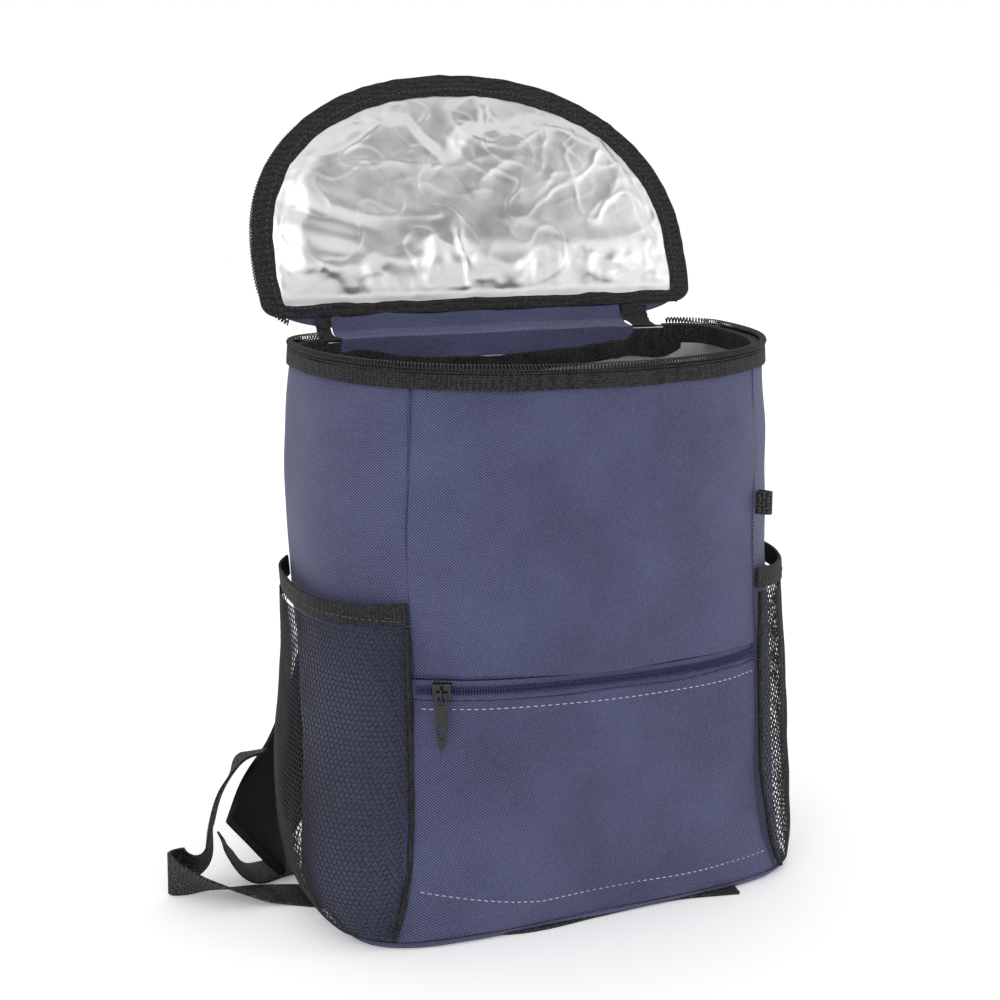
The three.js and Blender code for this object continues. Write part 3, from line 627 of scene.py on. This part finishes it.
# The lid's own frame: across, up its face, and out of its foil side
LID_TILT = math.radians(22.5)
LID_UP = Vector((0, math.sin(LID_TILT), math.cos(LID_TILT)))
LID_OUT = Vector((0, -math.cos(LID_TILT), math.sin(LID_TILT)))
lid_low, lid_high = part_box("lid_foil")
LID_MIDDLE = (lid_low + lid_high) / 2


def lid_place(across, up, out):
    """A place from the lid's middle, in the lid's own frame."""
    return LID_MIDDLE + Vector((across, 0, 0)) + LID_UP * up + LID_OUT * out


def lid_round(obj, start, end, out, step=2.0):
    """Places and normals round the lid's edge on obj, by the angle about the lid's middle."""
    tree = tree_of(obj)
    found = []
    for angle in np.arange(start, end, step):
        turn = math.radians(angle)
        way = Vector((math.sin(turn), 0, 0)) + LID_UP * math.cos(turn)
        hit = tree.ray_cast(lid_place(0, 0, out) + way * 0.3, -way)
        if hit[0]:
            found.append((hit[0], hit[1]))
    return [f[0] for f in found], [f[1] for f in found]


def lid_depth(node):
    """The least and greatest distance of a node out of the lid's face, from LID_MIDDLE."""
    place, _ = places(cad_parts[node])
    depth = (place - np.array(LID_MIDDLE)) @ np.array(LID_OUT)
    return depth.min(), depth.max()


# The lid's foil: a sheet sewn in at the edge and a little too large, so that it puffs and crumples

FOIL_CELL = 2.1 * MM
# The foil runs this far under the binding
FOIL_TUCK = 9 * MM
FOIL_FOOT = lid_depth("lid_foil")[0]


def lid_foil_sheet():
    """A fine grid laid on the foil's solid, with its rim running flat under the binding."""
    shape = soften(copy_node("lid_foil", "foil_shape"), 0.3 * MM, 1)
    tree = tree_of(shape)
    half_width = (lid_high.x - lid_low.x) / 2 + FOIL_TUCK
    half_height = (lid_high.z - lid_low.z) / 2 / math.cos(LID_TILT) + FOIL_TUCK
    columns = int(2 * half_width / FOIL_CELL)
    rows = int(2 * half_height / FOIL_CELL)
    bpy.ops.object.select_all(action="DESELECT")
    bpy.ops.mesh.primitive_grid_add(x_subdivisions=columns, y_subdivisions=rows, size=1)
    sheet = bpy.context.object
    sheet.name = "lid_foil_puff"
    bm = bmesh.new()
    bm.from_mesh(sheet.data)
    lost = []
    for vertex in bm.verts:
        across = vertex.co.x * 2 * half_width
        up = vertex.co.y * 2 * half_height
        hit = tree.ray_cast(lid_place(across, up, 0.1), -LID_OUT)
        if hit[0] and hit[1].dot(LID_OUT) > 0.2:
            vertex.co = hit[0]
            continue
        flat = lid_place(across, up, FOIL_FOOT)
        if (tree.find_nearest(flat)[0] - flat).length < FOIL_TUCK:
            vertex.co = flat + LID_OUT * 0.5 * MM
        else:
            lost.append(vertex)
    bmesh.ops.delete(bm, geom=lost, context="VERTS")
    bm.to_mesh(sheet.data)
    bm.free()
    bpy.data.objects.remove(shape)
    return sheet


def tucked(obj):
    """The numbers of the vertices that lie under the binding or right beside it."""
    place, _ = places(obj)
    depth = (place - np.array(LID_MIDDLE)) @ np.array(LID_OUT)
    return [int(i) for i in np.flatnonzero(depth < FOIL_FOOT + 0.8 * MM)]


def crumple(obj, pressure, spare, cap, frames=20):
    """Lets the pinned sheet puff out with spare cloth, moving at most cap from where it was."""
    before, _ = places(obj)
    pins = obj.vertex_groups.new(name="sewn")
    pins.add(tucked(obj), 1.0, "REPLACE")
    cloth = obj.modifiers.new("cloth", "CLOTH")
    cloth.settings.vertex_group_mass = "sewn"
    cloth.settings.use_pressure = True
    cloth.settings.uniform_pressure_force = pressure
    cloth.settings.shrink_min = -spare
    cloth.settings.shrink_max = -spare
    cloth.settings.bending_stiffness = 0.02
    cloth.settings.tension_stiffness = 20
    cloth.settings.compression_stiffness = 20
    cloth.settings.effector_weights.gravity = 0
    cloth.point_cache.frame_end = frames
    for number in range(1, frames + 1):
        bpy.context.scene.frame_set(number)
    pick(obj)
    bpy.ops.object.modifier_apply(modifier="cloth")
    after, _ = places(obj)
    move = after - before
    # The foam behind keeps the foil from going in
    inward = np.minimum(move @ np.array(LID_OUT) + 0.3 * MM, 0)
    move -= np.outer(inward, np.array(LID_OUT))
    length = np.maximum(np.linalg.norm(move, axis=1), 1e-9)
    move *= np.minimum(1, cap / length)[:, None]
    obj.data.vertices.foreach_set("co", (before + move).ravel())
    obj.data.update()
    bpy.context.scene.frame_set(1)


def lid_foil_folds(place, normal):
    """Creases that run in from the left edge, and long folds above the hinge."""
    up = (place - LID_MIDDLE).dot(LID_UP)
    across = place.x
    low = fold(up, -44 * MM, 16 * MM)
    left = fold(across, -95 * MM, 45 * MM) * fold(up, -22 * MM, 26 * MM)
    line = math.sin((up + 0.35 * across) / (3.4 * MM) + 2 * noise.noise(place * 14))
    ripple = math.sin(up / (2.9 * MM) + 3 * noise.noise(place * 9))
    high = fold(up, 34 * MM, 34 * MM)
    # Wrinkles run longer across the lid than up it
    wide = Vector((place.x * 0.6, place.y, place.z))
    rise = (place - LID_MIDDLE).dot(LID_OUT) - FOIL_FOOT
    fade = min(1, max(0, rise / (2.5 * MM)))
    return fade * (
        left * line * 0.8 * MM
        + low * ripple * 0.35 * MM
        + high * crease(wide, 30, 0.75 * MM, 4)
        + high * crease(wide, 62, 0.4 * MM, 12)
        + crease(wide, 20, 0.55 * MM, 1)
        + crease(place, 44, 0.3 * MM, 17)
        + slack(place, 16, 1.7 * MM, 7)
        + slack(wide, 40, 0.8 * MM, 15)
    )


def slim_lower_run(obj):
    """The binding's run above the hinge is folded narrower than the rest."""
    place, _ = places(obj)
    up = (place - np.array(LID_MIDDLE)) @ np.array(LID_UP)
    reach = 26 * MM
    share = np.clip((up - up.min()) / reach, 0, 1)
    slim = np.interp(share, [0, 0.5, 1], [0, 0.28, 1])
    place += np.outer((slim - share) * reach, np.array(LID_UP))
    obj.data.vertices.foreach_set("co", place.ravel())
    obj.data.update()


slim_lower_run(made["lid_edge_binding"])
foil_puff = lid_foil_sheet()
crumple(foil_puff, pressure=3.0, spare=0.03, cap=3 * MM)
apply(foil_puff, "SMOOTH", factor=0.5, iterations=3)
apply(foil_puff, "SUBSURF", levels=1, render_levels=1)
push(foil_puff, lid_foil_folds)
apply(foil_puff, "SOLIDIFY", thickness=0.8 * MM, offset=-1.0)
pick(foil_puff)
bpy.ops.object.shade_smooth()
ride(foil_puff, aluminised_film, ["lid_foil"])


# Zips: each coil is a wire wound along the line of its CAD solid

def level_of(around, angle, low, high):
    """The middle height of a thin ring at an angle, between low and high."""
    heights = [h for h in np.linspace(low, high, 28) if around.at(angle, h)]
    return (heights[0] + heights[-1]) / 2 if heights else None


def ring_path(node, start, end, step, inward):
    """The line that a thin ring follows between two angles, set inward from its outside."""
    shape = soften(copy_node(node, node + "_shape"), 0.3 * MM, 1)
    around = Around(shape)
    low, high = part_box(node)
    points, normals = [], []
    for angle in np.arange(start, end, step):
        level = level_of(around, angle, low.z, high.z)
        if level is not None:
            place, normal = around.at(angle, level)
            flat = Vector((normal.x, normal.y, 0)).normalized()
            points.append(place - flat * inward)
            normals.append(flat)
    bpy.data.objects.remove(shape)
    return points, normals


RIM_COIL = 1.6 * MM
rim_points, rim_normals = ring_path("rim_zip_coil", -150, 150, 1.5, RIM_COIL)
rim_coil = coil("rim_coil", rim_points, rim_normals, RIM_COIL, 1.9 * MM, 0.95 * MM, smooth=3)
ride(rim_coil, black_coil, ["rim_zip_coil"])

pocket_points, pocket_normals = ring_path("pocket_zip_coil", -60, 60, 1.0, 0.7 * MM)
for number, offset in enumerate((-1.1 * MM, 1.1 * MM)):
    row = [p + Vector((0, 0, offset)) for p in pocket_points]
    half_coil = coil(
        f"pocket_coil_{number + 1}", row, pocket_normals, 1.05 * MM, 1.5 * MM, 0.7 * MM, flat=0.7
    )
    ride(half_coil, navy_coil, ["pocket_zip_coil"])

lid_shape = soften(copy_node("lid_zip_coil", "lid_coil_shape"), 0.3 * MM, 1)
coil_low, coil_high = lid_depth("lid_zip_coil")
lid_points, lid_normals = lid_round(lid_shape, -122, 122, (coil_low + coil_high) / 2)
bpy.data.objects.remove(lid_shape)
lid_points = [p - n * 1.4 * MM for p, n in zip(lid_points, lid_normals)]
lid_coil = coil("lid_coil", lid_points, lid_normals, 1.5 * MM, 1.9 * MM, 0.95 * MM, smooth=3)
ride(lid_coil, black_coil, ["lid_zip_coil"])


# The front seams: a fine dark line of thread in the groove between two walls

SEAM_THREAD = 0.5 * MM
# How far the thread's middle stands out from the front wall's edge
SEAM_STAND = 1.1 * MM
# Angles tried for that edge, from the side towards the front
SEAM_TRIED = np.arange(62, 30, -0.2)


def front_seam(side, sign):
    """A line of thread up the edge of the front wall, on one side."""
    panel = Around(made["front_cloth"])
    points, normals = [], []
    for level in np.linspace(10 * MM, WALL_TOP - 9 * MM, 70):
        hits = (panel.at(sign * a, level) for a in SEAM_TRIED)
        edge = next((hit[0] for hit in hits if hit), None)
        if edge:
            out = Vector((edge.x - MIDDLE.x, edge.y - MIDDLE.y, 0)).normalized()
            points.append(edge + out * SEAM_STAND)
            normals.append(out)
    line = tube(f"front_seam_{side}", *evenly(points, normals, 3 * MM, 3), SEAM_THREAD)
    ride(line, navy_coil)


front_seam("left", -1)
front_seam("right", 1)


# Side nets: a hexagon mesh laid on the CAD solid's outside

NET_CELL = 3.1 * MM
NET_THREAD = 0.78 * MM


def net_slack(place, normal):
    """The nets: loose folds, drawn a little towards the bag."""
    return slack(place, 18, 2.2 * MM, 21) + slack(place, 45, 0.8 * MM, 3) - 1.0 * MM


def net(side):
    """One side's net of hexagons, and the rope along its front edge."""
    node = f"net_pocket_{side}"
    sign = -1 if side == "left" else 1
    shape = soften(copy_node(node, node + "_shape"), 0.3 * MM, 2)
    push(shape, net_slack)
    around = Around(shape)
    low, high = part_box(node)
    middle = (low.z + high.z) / 2
    angles = [a for a in np.arange(0, 180, 0.5) if around.at(sign * a, middle)]
    line = [around.at(sign * a, middle)[0] for a in angles]
    way = np.concatenate([[0], np.cumsum([(b - a).length for a, b in zip(line, line[1:])])])
    bm = bmesh.new()
    known = {}

    def corner(across, up):
        key = (round(across * 1e5), round(up * 1e5))
        if key not in known:
            angle = float(np.interp(across, way, angles))
            hit = around.at(sign * angle, up)
            known[key] = bm.verts.new(hit[0]) if hit else None
        return known[key]

    half = NET_CELL / 2
    side_length = NET_CELL / math.sqrt(3)
    rows = int((high.z - low.z) / (1.5 * side_length)) + 1
    columns = int(way[-1] / NET_CELL) + 1
    for row in range(rows):
        for column in range(columns):
            across = column * NET_CELL + (half if row % 2 else 0)
            up = low.z + 1 * MM + row * 1.5 * side_length
            if not half <= across <= way[-1] - half:
                continue
            corners = [
                corner(across + half * x, up + side_length * y)
                for x, y in ((0, 1), (1, 0.5), (1, -0.5), (0, -1), (-1, -0.5), (-1, 0.5))
            ]
            if all(corners) and len(set(corners)) == 6:
                try:
                    bm.faces.new(corners[::-1] if side == "left" else corners)
                except ValueError:
                    pass
    mesh = bpy.data.meshes.new(f"net_{side}")
    bm.to_mesh(mesh)
    bm.free()
    obj = bpy.data.objects.new(f"net_{side}", mesh)
    bpy.context.collection.objects.link(obj)
    apply(
        obj, "WIREFRAME", thickness=NET_THREAD, use_even_offset=False, use_boundary=True, offset=0
    )
    pick(obj)
    bpy.ops.object.shade_smooth()
    front, outward = [], []
    tried = np.arange(angles[0] - 8, angles[0] + 12, 0.25)
    for level in np.linspace(low.z + 2 * MM, high.z - 2 * MM, 60):
        hits = (around.at(sign * a, level) for a in tried)
        first = next((hit[0] for hit in hits if hit), None)
        if first:
            out = (first - MIDDLE) * Vector((1, 1, 0))
            outward.append(out.normalized())
            front.append(first + out.normalized() * 0.6 * MM)
    edge_place, edge_run, edge_out = evenly(front, outward, 3 * MM, 2)
    rope = tube(f"net_front_edge_{side}", edge_place, edge_run, edge_out, 1.5 * MM, sides=8)
    ride(rope, black_binding)
    bpy.data.objects.remove(shape)
    ride(obj, net_thread, [node])


net("left")
net("right")


# Stitching

pocket = Around(made["pocket_cloth"])
STITCH_LENGTH = 2.6 * MM
STITCH_SPACING = 3.9 * MM
STITCH_THREAD = 0.6 * MM
# How far inside the lid binding's outer edge its stitches run
LID_STITCH_INSET = 9.5 * MM


def stitch_round(name, around, start, end, height, material):
    """A row of stitches round the bag, between two angles."""
    points, normals = around.path(start, end, height, 0.8, out=0.15 * MM)
    row = stitches(name, points, normals, STITCH_LENGTH, STITCH_SPACING, STITCH_THREAD)
    ride(row, material)


def hem_height(angle):
    """The pocket's lower row of stitches: level, rising at the left corner."""
    return 18 * MM + 7 * MM * max(0, (-angle - 26) / 18) ** 1.3


stitch_round("pocket_top_stitches", pocket, -62, 62, ZIP_HEIGHT - 10.5 * MM, white_thread)
stitch_round("pocket_hem_stitches", pocket, -58, 60, hem_height, white_thread)
edges = {side: Around(made[f"net_edge_{side}"]) for side in ("left", "right")}
for side, start, end in (("left", -108, -48), ("right", 48, 108)):
    level = NET_TOP + 1.5 * MM
    stitch_round(f"net_edge_stitches_{side}", edges[side], start, end, level, grey_thread)

binding_low, binding_high = lid_depth("lid_binding")
binding_tree = tree_of(made["lid_edge_binding"])
binding_middle = (binding_low + binding_high) / 2
outer_points, _ = lid_round(made["lid_edge_binding"], -125, 125, binding_middle)
inner_points, inner_normals = [], []
for place in outer_points:
    inward = LID_MIDDLE - place
    inward -= LID_OUT * inward.dot(LID_OUT)
    start = place + inward.normalized() * LID_STITCH_INSET + LID_OUT * 30 * MM
    hit = binding_tree.ray_cast(start, -LID_OUT)
    if hit[0]:
        inner_points.append(hit[0] + hit[1] * 0.15 * MM)
        inner_normals.append(hit[1])
lid_row = stitches("lid_stitches", inner_points, inner_normals, 2.4 * MM, 3.8 * MM, 0.5 * MM)
ride(lid_row, grey_thread)


# Floor, light and camera

def soft_light(name, place, aim, size, power):
    """A square lamp of size metres and power watts, turned towards aim."""
    data = bpy.data.lights.new(name, "AREA")
    data.size = size
    data.energy = power
    lamp = bpy.data.objects.new(name, data)
    bpy.context.collection.objects.link(lamp)
    lamp.location = place
    lamp.rotation_euler = (Vector(aim) - Vector(place)).to_track_quat("-Z", "Y").to_euler()


def floor():
    """A wide pale sheet under the bag."""
    bpy.ops.object.select_all(action="DESELECT")
    bpy.ops.mesh.primitive_plane_add(size=6, location=(0, 0, 0))
    plane = bpy.context.object
    plane.name = "floor"
    material, _, shader = new_material("pale_paper_floor")
    shader.inputs["Base Color"].default_value = srgb("#fafafa")
    shader.inputs["Roughness"].default_value = 0.9
    # A white sheet lit from below as well, so that the picture's floor stays white
    shader.inputs["Emission Color"].default_value = (1, 1, 1, 1)
    shader.inputs["Emission Strength"].default_value = 0.18
    plane.data.materials.append(material)


def grey_card(place, aim, size):
    """A card out of the picture, which the upper foil mirrors as a darker patch."""
    bpy.ops.object.select_all(action="DESELECT")
    bpy.ops.mesh.primitive_plane_add(size=size, location=place)
    card = bpy.context.object
    card.name = "grey_card"
    card.rotation_euler = (Vector(aim) - Vector(place)).to_track_quat("Z", "Y").to_euler()
    material, _, shader = new_material("grey_card")
    shader.inputs["Base Color"].default_value = srgb("#4a4a4a")
    shader.inputs["Roughness"].default_value = 0.9
    card.data.materials.append(material)


floor()
grey_card((0.8, -1.4, 2.0), (0, 0.1, 0.4), 1.3)
world = bpy.data.worlds.new("studio")
world.use_nodes = True
world.node_tree.nodes["Background"].inputs[0].default_value = (1, 1, 1, 1)
world.node_tree.nodes["Background"].inputs[1].default_value = 1.0
bpy.context.scene.world = world
bpy.context.scene.view_settings.view_transform = "Standard"
MIDDLE_OF_BAG = (0, 0, 0.2)
soft_light("key", (-1.0, -1.3, 1.5), MIDDLE_OF_BAG, 1.2, 6)
soft_light("fill", (1.4, -1.0, 0.9), MIDDLE_OF_BAG, 1.0, 3)

# The photograph's viewing angle and distance, found from the bag's outline and base
VIEW_TURN = math.radians(-23.637)
VIEW_RISE = math.radians(12.22)
CAMERA_PLACE = Vector((-0.4031, -0.8458, 0.4257))
camera_data = bpy.data.cameras.new("camera")
camera_data.lens = 61.57
camera_data.sensor_width = 36
camera = bpy.data.objects.new("camera", camera_data)
bpy.context.collection.objects.link(camera)
back = Vector(
    (
        math.sin(VIEW_TURN) * math.cos(VIEW_RISE),
        -math.cos(VIEW_TURN) * math.cos(VIEW_RISE),
        math.sin(VIEW_RISE),
    )
)
right = Vector((0, 0, 1)).cross(back).normalized()
up = back.cross(right)
turn = Matrix((right, up, back)).transposed().to_4x4()
camera.matrix_world = Matrix.Translation(CAMERA_PLACE) @ turn
bpy.context.scene.camera = camera
